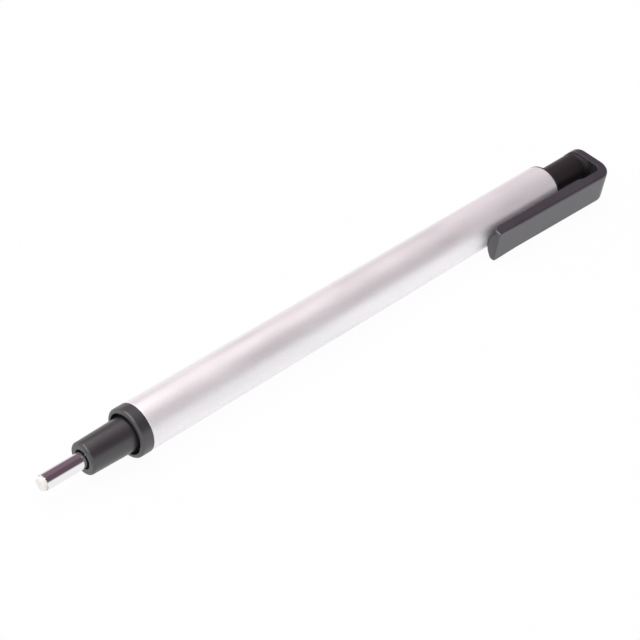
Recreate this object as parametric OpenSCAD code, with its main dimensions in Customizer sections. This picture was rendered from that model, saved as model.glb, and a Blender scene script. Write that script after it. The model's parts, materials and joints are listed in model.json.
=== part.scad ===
// Push-type stick eraser pen: a round eraser stick held in a spring chuck,
// fed by a push cap that is moulded in one with the pocket clip.
// Millimetres. X runs along the barrel, from the tip (-X) to the push cap (+X). Z is up.
// The pen lies as it does on a desk, on its collar and on the lower edge of its clip,
// and the origin is the bottom centre of its box.

/* [Barrel] */
// Outer diameter of the barrel
barrel_d = 8.3; // [7.8:0.1:11]
// Wall of the barrel
barrel_wall = 0.5; // [0.4:0.05:0.65]
// Length of the barrel
barrel_len = 96.8; // [90:0.2:120]

/* [Collar] */
// How far the collar stands proud of the barrel
collar_proud = 0.05; // [0.02:0.01:0.15]
// Length of the collar in front of the barrel
collar_len = 2.9; // [2.6:0.1:5]
// Radius of the collar's rounded shoulder
collar_round = 0.5; // [0.3:0.05:0.8]
// Slope of the collar's front face, in degrees
collar_slope = 8; // [4:1:40]
// Depth of the collar's spigot in the barrel
spigot_len = 4; // [3:0.1:6]

/* [Nose] */
// Length of the nose in front of the collar
nose_len = 7.5; // [6.6:0.1:12]
// Diameter of the nose where it leaves the collar
nose_base_d = 5.8; // [5.4:0.05:6.1]
// Diameter of the nose at its front
nose_tip_d = 5.45; // [5.3:0.05:5.8]
// Radius of the nose's rounded front edge
nose_round = 0.35; // [0.1:0.05:0.4]
// Thickness of the nose's front wall
nose_front = 0.8; // [0.5:0.05:1.2]
// Diameter of the hole round the guide tube in that front wall
nose_hole_d = 3.2; // [3.15:0.05:3.6]
// Diameter of the seat inside the nose for bush and retainer
nose_seat_d = 4.4; // [4.3:0.05:4.5]
// Diameter of the room inside the nose for the jaws
jaw_room_d = 4.6; // [4.55:0.05:4.7]

/* [Guide tube, bush and retainer] */
// Outer diameter of the guide tube
tube_d = 2.7; // [2.65:0.05:3]
// Length of guide tube in front of the nose
tube_out = 7.2; // [4:0.1:12]
// Diameter of the guide tube's thicker root, inside the nose
tube_root_d = 3.06; // [2.9:0.02:3.1]
// How far inside the nose that root starts
tube_root_sink = 0.15; // [0.05:0.05:0.5]
// Thickness of the flange at the end of that root
tube_flange = 0.3; // [0.2:0.05:0.5]
// Diameter of that flange
tube_flange_d = 3.4; // [3.3:0.05:3.8]
// Length of the bush that carries the guide tube
bush_len = 2; // [1.5:0.1:2.3]
// Length of the rubber retainer ring
retainer_len = 1.9; // [1:0.1:2.1]

/* [Eraser stick] */
// Diameter of the eraser stick
eraser_d = 2.3; // [2.1:0.05:2.35]
// Length of a new eraser stick
eraser_len = 87; // [60:1:95]
// How far the stick shows in front of the guide tube
eraser_out = 0.6; // [0.2:0.1:2]

/* [Chuck and clutch] */
// How far the push cap travels
push_travel = 3.2; // [2:0.1:3.3]
// How far the clutch ring goes with the chuck
clutch_travel = 0.8; // [0.5:0.05:1]
// Outer diameter of the chuck's shank
shank_d = 3.2; // [3.1:0.05:3.3]
// Outer diameter of the jaws at their widest
jaw_d = 4.2; // [4:0.05:4.3]
// Length of the jaws in front of their cone
jaw_len = 4.4; // [3:0.1:4.6]
// Length of the cone behind the jaws
cone_len = 4.8; // [4:0.1:6]
// Width of the slits between the jaws
slit_w = 0.3; // [0.2:0.05:0.5]
// Length of the clutch ring
ring_len = 3; // [2:0.1:3.5]
// Outer diameter of the clutch ring
ring_d = 5.2; // [4.8:0.05:5.6]
// Thickness of the sleeve's inner shoulder
shoulder_len = 2.4; // [1.5:0.1:3]

/* [Return spring] */
// Wire of the return spring
wire_d = 0.35; // [0.25:0.05:0.4]
// Diameter of the coil, from wire centre to wire centre
coil_d = 4.3; // [4.1:0.05:4.5]
// Number of turns
coil_turns = 8; // [6:1:9]
// Length of the spring at rest
spring_len = 9.2; // [8:0.1:12]

/* [Adapter and magazine] */
// Length of the adapter's bore for the chuck's shank
adapter_grip = 3.7; // [3.5:0.1:5]
// Length of the adapter's socket for the magazine
adapter_socket = 4.5; // [3:0.1:6]
// Diameter of the adapter's stop flange
stop_d = 6.6; // [6.2:0.1:6.9]
// Outer diameter of the magazine tube
magazine_d = 4.4; // [4:0.05:4.5]
// Wall of the magazine tube
magazine_wall = 0.65; // [0.3:0.05:0.7]

/* [Push cap] */
// Diameter of the neck
neck_d = 5.8; // [5.4:0.05:5.85]
// From the barrel's end to the outer face of the end wall
cap_rise = 12.5; // [9.5:0.1:16]
// Wall of the end, of the bend and of the clip's springy root
cap_wall = 1.9; // [1:0.05:2.1]
// Outer radius of the bend from end wall to clip
bend_r = 3.4; // [2.2:0.1:4]
// Radius where the neck runs into the end wall
neck_fillet = 1.2; // [0.6:0.1:1.5]
// Depth to which the neck holds the magazine
neck_socket = 12; // [6:0.5:14]
// Length of the keyed bush in the barrel's end
rear_bush_len = 8; // [5:0.1:10]
// Thickness of the bush's flange behind the barrel
rear_flange = 0.45; // [0.3:0.05:1]
// Radius of that flange's rounded edge
flange_round = 0.25; // [0.1:0.05:0.3]
// Height of the snap barb in front of the bush
barb_h = 0.25; // [0.15:0.05:0.35]
// Width of the key on the neck
key_w = 0.8; // [0.6:0.05:1.2]
// Height of the key on the neck
key_h = 0.4; // [0.3:0.05:0.5]

/* [Clip] */
// Length of the clip, from its front to the end wall
clip_len = 32.4; // [24:0.2:40]
// Width of the clip at its root
clip_root_w = 6; // [5.9:0.1:7]
// Width of the clip at its front
clip_front_w = 6.2; // [4.8:0.1:6.6]
// Gap between the barrel and the stiffened part of the clip
clip_gap = 0.2; // [0.15:0.05:0.6]
// Depth of the stiffened part of the clip, taken at the bend
clip_depth = 2.75; // [2.3:0.05:3.2]
// How far the clip's outer face leans in towards the barrel, in degrees
clip_lean = 1.6; // [0.6:0.1:1.8]
// Length of the thin springy root behind the bend
clip_root_len = 3.6; // [2.5:0.1:5]
// Width of the side rails under the clip
rail_w = 1.1; // [0.8:0.05:1.4]
// Thickness of the clip between those rails
clip_web = 1; // [0.8:0.05:1.3]
// Bevel at the rear of the clip's long edges, where they face the barrel
rail_bevel = 0.6; // [0.2:0.05:0.7]
// Length of the foot that rests on the barrel
foot_len = 2.2; // [1.5:0.1:4]
// Radius of the foot's rounded sole, seen from the front
foot_r = 3.4; // [3.2:0.1:5]
// Radius between the clip's outer face and its front face
foot_round = 0.7; // [0.3:0.05:0.9]
// Radius of the clip's front corners, seen from above
corner_r = 0.9; // [0.3:0.1:1.2]

/* [Clearances] */
// Radial gap between pieces that slide on each other
running_gap = 0.05; // [0.02:0.01:0.08]
// Radial gap between pieces that are pressed or screwed together
seat_gap = 0.01; // [0.005:0.005:0.03]
// Gap between faces that meet end to end
face_gap = 0.05; // [0.02:0.01:0.1]
// Gap between the clip's foot and the barrel
foot_gap = 0.08; // [0.05:0.01:0.1]

/* [Hidden] */
$fn = 72;
EPS = 0.01;      // overlap of solids that are joined
CUT = 1;         // how far a cutter runs past what it cuts

// radii
barrel_r = barrel_d / 2;
bore_r = barrel_r - barrel_wall;
collar_r = barrel_r + collar_proud;
fit_r = bore_r - seat_gap;
tube_r = tube_d / 2;
tube_root_r = tube_root_d / 2;
eraser_r = eraser_d / 2;
stick_bore_r = eraser_r + running_gap;
shank_r = shank_d / 2;
jaw_r = jaw_d / 2;
ring_r = ring_d / 2;
magazine_r = magazine_d / 2;
neck_r = neck_d / 2;
screw_r = nose_base_d / 2 + seat_gap;
nose_seat_r = nose_seat_d / 2;

// stations along X, with the barrel's front end at 0
nose_base_x = -collar_len;
nose_tip_x = nose_base_x - nose_len;
seat_x = nose_tip_x + nose_front;
bush_end_x = seat_x + bush_len;
flange_end_x = bush_end_x + tube_flange;
retainer_end_x = flange_end_x + face_gap + retainer_len;
tube_root_x = nose_tip_x + tube_root_sink;
tube_tip_x = nose_tip_x - tube_out;
eraser_tip_x = tube_tip_x - eraser_out;
ring_x = spigot_len + face_gap + clutch_travel;
shoulder_x = ring_x + ring_len + face_gap;
spring_x = shoulder_x + shoulder_len + face_gap;
adapter_x = spring_x + spring_len + face_gap;
stop_x = adapter_x + adapter_grip;
socket_x = stop_x + face_gap;
sleeve_end_x = stop_x - push_travel - 2 * face_gap;
adapter_end_x = socket_x + adapter_socket;
cone_end_x = ring_x + ring_len + face_gap;
jaws_x = cone_end_x - cone_len - jaw_len;
shank_end_x = stop_x - face_gap;
rear_bush_end_x = barrel_len + rear_flange;
rear_bush_x = barrel_len - rear_bush_len;
barb_len = 2;                                  // length of the snap barb
neck_x = rear_bush_x - face_gap - barb_len;
cap_end_x = barrel_len + cap_rise;
clip_front_x = cap_end_x - clip_len;

// the clip: reach is the distance of its outer face from the barrel's axis, at the bend
arm_inside = barrel_r + clip_gap;
clip_reach = arm_inside + clip_depth;
wall_r = clip_root_w / 2;
bend_x = cap_end_x - bend_r;
bend_y = -(clip_reach - bend_r);
foot_sole = barrel_r + foot_gap;
arm_len = bend_x - clip_front_x;
front_reach = clip_reach - arm_len * sin(clip_lean);
arm_ramp = clip_depth - cap_wall;
function clip_half(x) =
    clip_front_w / 2 + (clip_root_w - clip_front_w) / 2 * min(1, (x - clip_front_x) / arm_len);

// how the pen lies: the collar and a lower corner of the clip both touch the desk
function roll_onto(reach, half) = asin(collar_r / norm([reach, half])) - atan2(half, reach);
rest_roll = min(roll_onto(clip_reach, wall_r), roll_onto(front_reach, clip_front_w / 2));
mid_x = (cap_end_x + eraser_tip_x) / 2;
mid_y = (collar_r - clip_reach * cos(rest_roll) - wall_r * sin(rest_roll)) / 2;

// ---- helpers ----

// sets a piece that was drawn about the barrel's axis down on the desk
module on_desk() {
    translate([-mid_x, -mid_y, collar_r]) rotate([rest_roll, 0, 0]) children();
}

// round bar about the axis, from x0 to x1
module rod(r, x0, x1) {
    translate([x0, 0, 0]) rotate([0, 90, 0]) cylinder(r = r, h = x1 - x0);
}

// tube about the axis, from x0 to x1
module pipe(outer, inner, x0, x1) {
    difference() {
        rod(outer, x0, x1);
        rod(inner, x0 - CUT, x1 + CUT);
    }
}

// solid of revolution about the axis, from a section drawn as [radius, x]
module turned() {
    rotate([0, 90, 0]) rotate_extrude() children();
}

// extrudes a drawing made in the plane across the barrel, as [y, z], from x0 to x1
module across(x0, x1) {
    translate([x0, 0, 0]) rotate([90, 0, 90]) linear_extrude(height = x1 - x0) children();
}

// extrudes a drawing made as [x, z] through the whole depth of the clip
module through_depth() {
    depth = clip_reach + wall_r + 2 * CUT;
    translate([0, wall_r + CUT, 0]) rotate([90, 0, 0]) linear_extrude(height = depth) children();
}

// ---- front end ----

module barrel() color("silver") on_desk() pipe(barrel_r, bore_r, 0, barrel_len);

// section of the collar: sloping face, rounded shoulder, ring and spigot
module collar_section() {
    round_r = collar_r - collar_round;
    touch_r = round_r + collar_round * sin(collar_slope);
    touch_x = -collar_len + (touch_r - screw_r) * tan(collar_slope);
    round_x = touch_x + collar_round * cos(collar_slope);
    translate([round_r, round_x]) circle(r = collar_round);
    polygon([
        [screw_r, -collar_len], [touch_r, touch_x], [round_r, round_x], [collar_r, round_x],
        [collar_r, 0], [fit_r, 0], [fit_r, spigot_len], [screw_r, spigot_len]
    ]);
}

module front_collar() color("#202022") on_desk() turned() collar_section();

// section of the nose: rounded front edge, slight taper, then the shank in the collar
module nose_section() {
    tip_r = nose_tip_d / 2;
    base_r = nose_base_d / 2;
    translate([tip_r - nose_round, nose_tip_x + nose_round]) circle(r = nose_round);
    polygon([
        [nose_hole_d / 2, nose_tip_x], [tip_r - nose_round, nose_tip_x],
        [tip_r - nose_round, nose_tip_x + nose_round], [tip_r, nose_tip_x + nose_round],
        [base_r, nose_base_x], [base_r, spigot_len], [jaw_room_d / 2, spigot_len],
        [jaw_room_d / 2, retainer_end_x], [nose_seat_r, retainer_end_x],
        [nose_seat_r, seat_x], [nose_hole_d / 2, seat_x]
    ]);
}

module nose_cone() color("#242426") on_desk() turned() nose_section();

module guide_tube() color("gainsboro") on_desk() {
    difference() {
        union() {
            rod(tube_r, tube_tip_x, tube_root_x + EPS);
            rod(tube_root_r, tube_root_x, flange_end_x);
            rod(tube_flange_d / 2, bush_end_x, flange_end_x);
        }
        rod(stick_bore_r, tube_tip_x - CUT, flange_end_x + CUT);
    }
}

module tube_bush() color("#2a2a2c") on_desk()
    pipe(nose_seat_r - seat_gap, tube_root_r + seat_gap, seat_x, bush_end_x);

module retainer_ring() color("dimgray") on_desk()
    pipe(nose_seat_r - seat_gap, eraser_r + seat_gap, flange_end_x + face_gap, retainer_end_x);

module eraser_stick() color("ivory") on_desk()
    rod(eraser_r, eraser_tip_x, eraser_tip_x + eraser_len);

// ---- chuck, clutch and spring ----

// outer radius of the cone at x, with the chuck at rest
function cone_r(x) = shank_r + (jaw_r - shank_r) * (cone_end_x - x) / cone_len;

// the jaws carry grip grooves inside, and their cone runs down to the shank
module chuck_section() {
    jaw_edge = 0.3;                            // bevel on the front of the jaws
    groove_depth = 0.12;
    groove_w = 0.4;
    grooves = 4;
    groove_points = [for (i = [0:grooves - 1]) let (x = jaws_x + (2 * i + 2) * groove_w) each [
        [stick_bore_r, x], [stick_bore_r + groove_depth, x],
        [stick_bore_r + groove_depth, x + groove_w], [stick_bore_r, x + groove_w]
    ]];
    polygon(concat([
        [stick_bore_r, shank_end_x], [shank_r, shank_end_x], [shank_r, cone_end_x],
        [jaw_r, jaws_x + jaw_len], [jaw_r, jaws_x + jaw_edge], [jaw_r - jaw_edge, jaws_x],
        [stick_bore_r, jaws_x]
    ], groove_points));
}

// three jaws, parted by slits that run into the shank
module chuck() {
    jaws = 3;
    slit_end_x = spring_x + spring_len / 3;
    slit_root_r = eraser_r / 2;                // where a slit starts, inside the bore
    color("goldenrod") on_desk() difference() {
        turned() chuck_section();
        for (i = [0:jaws - 1]) rotate([i * 360 / jaws, 0, 0])
            translate([jaws_x - CUT, slit_root_r, -slit_w / 2])
                cube([slit_end_x - jaws_x + CUT, jaw_d, slit_w]);
    }
}

module clutch_ring() color("darkgoldenrod") on_desk() turned() polygon([
    [cone_r(ring_x) + running_gap, ring_x], [ring_r, ring_x], [ring_r, ring_x + ring_len],
    [cone_r(ring_x + ring_len) + running_gap, ring_x + ring_len]
]);

// liner in the barrel: a room for the clutch ring, its shoulder, and a room for the spring
module chuck_sleeve() {
    ring_room_r = ring_r + running_gap;
    spring_room_r = coil_d / 2 + wire_d + running_gap;
    color("lightgray") on_desk() difference() {
        rod(fit_r, spigot_len + face_gap, sleeve_end_x);
        rod(ring_room_r, spigot_len, shoulder_x);
        rod(shank_r + 2 * running_gap, shoulder_x - CUT, spring_x);
        rod(spring_room_r, spring_x - face_gap, sleeve_end_x + CUT);
    }
}

// a helical wire with one closed turn at each end
module return_spring() {
    steps = 20;
    sides = 8;
    rings = coil_turns * steps;
    rise = (spring_len - 3 * wire_d) / (coil_turns - 2);
    function along(t) = wire_d / 2 + (t < 1 ? wire_d * t
        : t > coil_turns - 1 ? spring_len - wire_d - wire_d * (coil_turns - t)
        : wire_d + (t - 1) * rise);
    points = [for (i = [0:rings]) for (k = [0:sides - 1])
        let (turn = 360 * i / steps, a = 360 * k / sides, r = (coil_d + wire_d * sin(a)) / 2)
        [spring_x + along(i / steps) + wire_d / 2 * cos(a), r * cos(turn), r * sin(turn)]];
    skin = [for (i = [0:rings - 1]) for (k = [0:sides - 1])
        let (a = i * sides + k, b = i * sides + (k + 1) % sides)
        [a, a + sides, b + sides, b]];
    first = [for (k = [0:sides - 1]) k];
    last = [for (k = [sides - 1:-1:0]) rings * sides + k];
    color("lightsteelblue") on_desk() polyhedron(points, concat(skin, [first, last]));
}

// joins chuck and magazine: spring seat in front, stop flange, socket behind
module chuck_adapter() {
    boss_r = coil_d / 2 + wire_d / 2;
    color("white") on_desk() difference() {
        union() {
            rod(boss_r, adapter_x, stop_x + EPS);
            rod(stop_d / 2, stop_x, adapter_end_x);
        }
        rod(shank_r + seat_gap, adapter_x - CUT, stop_x);
        rod(stick_bore_r, adapter_x, adapter_end_x);
        rod(magazine_r + seat_gap, socket_x, adapter_end_x + CUT);
    }
}

module magazine_tube() color("whitesmoke") on_desk()
    pipe(magazine_r, magazine_r - magazine_wall, socket_x + face_gap, neck_x + neck_socket);

// ---- rear end ----

module key(half_w, top_r, x0, x1) {
    translate([x0, 0, -half_w]) cube([x1 - x0, top_r, 2 * half_w]);
}

// section of the rear bush: a plug in the barrel, and a flange that closes its end
module rear_bush_section() {
    edge_r = barrel_r - flange_round;
    edge_x = rear_bush_end_x - flange_round;
    inner_r = neck_r + running_gap;
    translate([edge_r, edge_x]) intersection() {
        circle(r = flange_round);
        square(flange_round);
    }
    polygon([
        [inner_r, rear_bush_x], [fit_r, rear_bush_x], [fit_r, barrel_len], [barrel_r, barrel_len],
        [barrel_r, edge_x], [edge_r, edge_x], [edge_r, rear_bush_end_x], [inner_r, rear_bush_end_x]
    ]);
}

module rear_bush() color("#2a2a2c") on_desk() difference() {
    turned() rear_bush_section();
    key(key_w / 2 + running_gap, neck_r + key_h + running_gap, rear_bush_x - CUT, rear_bush_end_x + CUT);
}

// the end wall seen along the barrel: a half round about the neck, then straight to the clip
module end_outline() {
    half = max(clip_root_w, clip_front_w) / 2;
    circle(r = wall_r);
    translate([-clip_reach - CUT, -half]) square([clip_reach + CUT, 2 * half]);
}

// the clip seen from outside: tapering forward, with rounded front corners
module plan_outline() {
    r = corner_r;
    x = clip_front_x;
    half = clip_front_w / 2;
    for (s = [-1, 1]) translate([x + r, s * (clip_half(x + r) - r)]) circle(r = r);
    polygon([
        [x, half - r], [x + r, half - r], [x + r, clip_half(x + r)], [bend_x, wall_r],
        [cap_end_x + CUT, wall_r], [cap_end_x + CUT, -wall_r], [bend_x, -wall_r],
        [x + r, -clip_half(x + r)], [x + r, r - half], [x, r - half]
    ]);
}

// end wall and bend, seen from the side; the bend is a quarter and the clip's lean
module wall_and_bend() {
    translate([cap_end_x - cap_wall, bend_y]) square([cap_wall, wall_r - bend_y]);
    far = bend_r + CUT;
    translate([bend_x, bend_y]) intersection() {
        difference() {
            circle(r = bend_r);
            circle(r = bend_r - cap_wall);
        }
        polygon([[-EPS, EPS], [far, EPS], [far, -far], [-EPS - far * tan(clip_lean), -far]]);
    }
}

// draws in the clip's own frame, with its origin at the bend's centre and its lean taken up
module leaning() {
    translate([bend_x, bend_y]) rotate(-clip_lean) children();
}

// the clip's arm seen from the side: thin root, ramp and stiffened part, which leans
// outside and runs level inside
module arm_side() {
    back = arm_len + CUT;
    inner = clip_depth - bend_r;
    difference() {
        leaning() polygon([
            [0, -bend_r], [0, cap_wall - bend_r], [-clip_root_len, cap_wall - bend_r],
            [-clip_root_len - arm_ramp, inner], [-back, inner], [-back, -bend_r]
        ]);
        translate([bend_x - back - CUT, -arm_inside]) square([back + CUT, clip_depth]);
    }
}

// the room under the clip between its side rails
module rail_room() {
    half = clip_front_w / 2 - rail_w;
    x0 = clip_front_x + foot_len + clip_web;
    x1 = bend_x - clip_root_len - arm_ramp;
    floor_y = -(clip_reach - clip_web);
    translate([bend_x, bend_y, 0]) rotate([0, 0, -clip_lean]) translate([-bend_x, -bend_y, 0])
        translate([x0, floor_y, -half]) cube([x1 - x0, clip_reach, 2 * half]);
}

// bevels the clip's long edges where they face the barrel; the bevels narrow forward
module rail_bevels() {
    reach = 4 * rail_bevel;
    front_bevel = rail_bevel / 4;
    taper = atan((wall_r - rail_bevel - clip_front_w / 2 + front_bevel) / arm_len);
    start = -arm_len - CUT;
    end = -clip_root_len - arm_ramp;
    for (s = [-1, 1])
        translate([bend_x, -arm_inside, s * (wall_r - rail_bevel)]) rotate([0, -s * taper, 0])
            rotate([s * 45, 0, 0]) translate([start, 0, -reach]) cube([end - start, reach, 2 * reach]);
}

// the clip's foot: a rounded sole that rests on the barrel behind a rounded front edge
module foot() {
    heel = front_reach - foot_sole;
    intersection() {
        across(clip_front_x, clip_front_x + foot_len + heel)
            translate([-foot_sole - foot_r, 0]) circle(r = foot_r);
        translate([0, 0, -clip_root_w]) linear_extrude(height = 2 * clip_root_w) polygon([
            [clip_front_x, -foot_sole], [clip_front_x + foot_len, -foot_sole],
            [clip_front_x + foot_len + heel, -front_reach], [clip_front_x, -front_reach]
        ]);
    }
}

// everything in front of and outside the clip's rounded front edge
module front_edge_cut() {
    r = foot_round;
    translate([0, 0, -clip_root_w]) linear_extrude(height = 2 * clip_root_w) difference() {
        translate([clip_front_x - CUT, -front_reach - CUT]) square([r + CUT, r + CUT]);
        translate([clip_front_x + r, r - front_reach]) circle(r = r);
    }
}

module clip_arm() {
    difference() {
        intersection() {
            union() {
                translate([0, 0, -clip_root_w]) linear_extrude(height = 2 * clip_root_w) {
                    wall_and_bend();
                    arm_side();
                }
                foot();
            }
            through_depth() plan_outline();
            across(clip_front_x - CUT, cap_end_x + CUT) end_outline();
        }
        rail_room();
        rail_bevels();
        front_edge_cut();
    }
}

module neck() {
    inner_x = cap_end_x - cap_wall;
    difference() {
        union() {
            rod(neck_r, neck_x, inner_x + EPS);
            turned() polygon([
                [neck_r - EPS, neck_x], [neck_r, neck_x], [neck_r + barb_h, neck_x + barb_len],
                [neck_r - EPS, neck_x + barb_len]
            ]);
            key(key_w / 2, neck_r + key_h, neck_x + barb_len - EPS, barrel_len);
            turned() difference() {
                translate([neck_r - EPS, inner_x - neck_fillet])
                    square([wall_r - neck_r + EPS, neck_fillet + EPS]);
                translate([neck_r + neck_fillet, inner_x - neck_fillet]) circle(r = neck_fillet);
            }
        }
        rod(magazine_r + seat_gap, neck_x - CUT, neck_x + neck_socket + face_gap);
    }
}

module clip_cap() color("#29292b") on_desk() {
    clip_arm();
    neck();
}

// ---- the pen ----

barrel();
front_collar();
nose_cone();
guide_tube();
tube_bush();
retainer_ring();
chuck_sleeve();
rear_bush();
eraser_stick();
clutch_ring();
chuck();
return_spring();
chuck_adapter();
magazine_tube();
clip_cap();
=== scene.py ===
# %% [markdown]
# # A push-type stick eraser pen
# A slim aluminium tube holds a long, thin eraser stick. A stepped black nose and a bright
# metal guide tube lead the stick out in front. Behind, a black push cap carries the pocket
# clip, and works a spring chuck inside the pen that feeds the stick.
# The solids of the pen are already made, so this lesson starts by loading them as a fixed
# frame. Every piece that follows is placed by what that frame says.

# %% Load the frame
import json
import math
from functools import partial

import bmesh
import bpy
from mathutils import Matrix, Vector

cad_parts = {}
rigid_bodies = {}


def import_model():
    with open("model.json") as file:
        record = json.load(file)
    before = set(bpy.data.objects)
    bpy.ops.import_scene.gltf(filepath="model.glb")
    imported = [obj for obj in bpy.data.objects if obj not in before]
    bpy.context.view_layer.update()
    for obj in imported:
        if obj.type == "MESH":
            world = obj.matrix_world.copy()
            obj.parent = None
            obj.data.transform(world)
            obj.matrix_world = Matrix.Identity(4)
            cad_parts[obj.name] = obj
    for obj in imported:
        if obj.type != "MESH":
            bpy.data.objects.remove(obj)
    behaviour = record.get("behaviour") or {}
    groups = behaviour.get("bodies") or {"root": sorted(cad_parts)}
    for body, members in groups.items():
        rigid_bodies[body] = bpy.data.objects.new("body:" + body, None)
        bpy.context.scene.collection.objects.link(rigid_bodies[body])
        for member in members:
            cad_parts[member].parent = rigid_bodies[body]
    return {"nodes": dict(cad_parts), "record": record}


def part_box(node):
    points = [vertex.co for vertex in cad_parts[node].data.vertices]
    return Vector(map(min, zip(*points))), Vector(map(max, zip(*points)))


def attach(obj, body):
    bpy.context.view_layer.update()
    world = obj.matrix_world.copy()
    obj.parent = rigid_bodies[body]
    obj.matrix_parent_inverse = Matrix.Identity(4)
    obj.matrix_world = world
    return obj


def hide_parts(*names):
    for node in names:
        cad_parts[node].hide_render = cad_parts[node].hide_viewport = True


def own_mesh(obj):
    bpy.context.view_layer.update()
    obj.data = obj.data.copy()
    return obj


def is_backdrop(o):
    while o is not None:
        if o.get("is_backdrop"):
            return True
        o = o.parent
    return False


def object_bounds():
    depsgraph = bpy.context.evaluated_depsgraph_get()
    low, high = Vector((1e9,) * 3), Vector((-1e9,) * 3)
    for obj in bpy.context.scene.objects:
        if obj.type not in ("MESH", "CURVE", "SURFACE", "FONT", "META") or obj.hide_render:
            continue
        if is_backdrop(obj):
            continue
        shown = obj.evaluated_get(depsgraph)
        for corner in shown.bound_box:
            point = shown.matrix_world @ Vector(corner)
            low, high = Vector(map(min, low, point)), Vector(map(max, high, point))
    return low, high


for leftover in list(bpy.data.objects):
    bpy.data.objects.remove(leftover)
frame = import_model()
cad_low, cad_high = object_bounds()
print("nodes:", len(frame["nodes"]), "size in mm:", [round(v * 1000, 2) for v in cad_high - cad_low])

# %% [markdown]
# ## Where the pen lies
# The pen lies on a desk with its clip turned a little down. Most of its pieces are turned
# parts, so it helps to think in three directions that belong to the pen: along the barrel,
# outwards to the clip, and sideways. The mounts of the record give the barrel's axis and the
# clip's direction, and one small function turns such a place into a point of the frame.

# %% Directions of the pen
MM = 0.001
mounts = {m["name"]: m for m in frame["record"]["mounts"]}
axis_point = Vector(mounts["guide_tube"]["pos_m"])
clip_point = Vector(mounts["pocket_clip"]["pos_m"])
outwards = Vector((0, clip_point.y - axis_point.y, clip_point.z - axis_point.z))
SOLE_REACH = outwards.length / MM
outwards.normalize()
sideways = outwards.cross(Vector((1, 0, 0)))
barrel_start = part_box("barrel")[0].x


def pen_point(x, out=0.0, side=0.0):
    """A point in metres from millimetres along the barrel, towards the clip and sideways."""
    along = Vector((barrel_start + x * MM, axis_point.y, axis_point.z))
    return along + (out * outwards + side * sideways) * MM


def station(x_in_metres):
    """Millimetres along the barrel of a place in the frame."""
    return (x_in_metres - barrel_start) / MM


print("axis at y, z:", round(axis_point.y / MM, 3), round(axis_point.z / MM, 3))
print("clip turned down by", round(math.degrees(math.asin(-outwards.z)), 2), "degrees")

# %% [markdown]
# ## Sections of turned parts
# A turned part is drawn as half of its section: stations along the barrel and radii. Real
# edges are never sharp, so each corner carries its own small radius, and the helper puts an
# arc of a few points there. One more point on the wall, close beside each arc, keeps the
# wall's shading flat up to its edge. Long walls get extra points, to be shaded evenly.


# %% Round the corners of a section
ARC_STEPS = 5
ARC_SHARE, SUPPORT_SHARE = 0.49, 0.495  # the most of a wall that one end's points take up
SUPPORT_REACH = 1.5  # place of the point beside an arc, in lengths of the arc's own reach


def rounded(corners):
    """Closed section with an arc at each corner, from (x, radius, corner radius)."""
    points = []
    for i, (x, r, turn) in enumerate(corners):
        if turn <= 0:
            points.append((x, r))
            continue
        here = Vector((x, r))
        before = Vector(corners[i - 1][:2]) - here
        after = Vector(corners[(i + 1) % len(corners)][:2]) - here
        a, b = before.normalized(), after.normalized()
        half = a.angle(b) / 2
        reach = min(turn / math.tan(half), ARC_SHARE * before.length, ARC_SHARE * after.length)
        radius = reach * math.tan(half)
        centre = here + (a + b).normalized() * (radius / math.sin(half))
        first, last = here + a * reach - centre, here + b * reach - centre
        points.append(tuple(here + a * min(SUPPORT_REACH * reach, SUPPORT_SHARE * before.length)))
        sweep = math.pi - 2 * half
        for k in range(ARC_STEPS + 1):
            share = k / ARC_STEPS
            arm = first * math.sin((1 - share) * sweep) + last * math.sin(share * sweep)
            points.append(tuple(centre + arm / math.sin(sweep)))
        points.append(tuple(here + b * min(SUPPORT_REACH * reach, SUPPORT_SHARE * after.length)))
    return points


def spaced(points, longest):
    """The same closed outline with points added, so that no step is longer than longest."""
    result = []
    for start, end in zip(points, points[1:] + points[:1]):
        a, b = Vector(start), Vector(end)
        pieces = max(1, math.ceil((b - a).length / longest))
        result += [tuple(a.lerp(b, k / pieces)) for k in range(pieces)]
    return result + points[:1]


# %% [markdown]
# ## A lathe made of nodes
# Turning follows one rule: each point of the section goes round the axis. Geometry Nodes say
# that rule once for every turned part of the pen. A flat grid gets one row for each point of
# the section and one column for each step of the turn, and is then wound round the axis.
# The seam and any pole on the axis are closed by merging points that meet.


# %% Helpers for node trees
SOCKETS = {"Geometry": "Geometry", "Material": "Material", "Segments": "Int", "Steps": "Int"}


def start_tree(name, titles):
    """A Geometry Nodes tree and its inputs, which are numbers unless SOCKETS says more."""
    tree = bpy.data.node_groups.new(name, "GeometryNodeTree")
    for title in titles:
        kind = "NodeSocket" + SOCKETS.get(title, "Float")
        tree.interface.new_socket(title, in_out="INPUT", socket_type=kind)
    tree.interface.new_socket("Geometry", in_out="OUTPUT", socket_type="NodeSocketGeometry")
    return tree, tree.nodes.new("NodeGroupInput").outputs


def end_tree(tree, shape, material):
    """Ends a tree with real geometry that wears one material."""
    nodes, link = tree.nodes, tree.links.new
    real = nodes.new("GeometryNodeRealizeInstances")
    link(shape, real.inputs[0])
    paint = nodes.new("GeometryNodeSetMaterial")
    link(real.outputs[0], paint.inputs["Geometry"])
    link(material, paint.inputs["Material"])
    link(paint.outputs[0], nodes.new("NodeGroupOutput").inputs[0])


def feed(tree, value, target):
    """Gives a socket its value: another socket is linked to it, anything else is set."""
    if isinstance(value, bpy.types.NodeSocket):
        tree.links.new(value, target)
    elif value is not None:
        target.default_value = value


def add_math(tree, operation, a, b=None):
    """One maths node; a and b are sockets or numbers."""
    node = tree.nodes.new("ShaderNodeMath")
    node.operation = operation
    feed(tree, a, node.inputs[0])
    feed(tree, b, node.inputs[1])
    return node.outputs[0]


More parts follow.
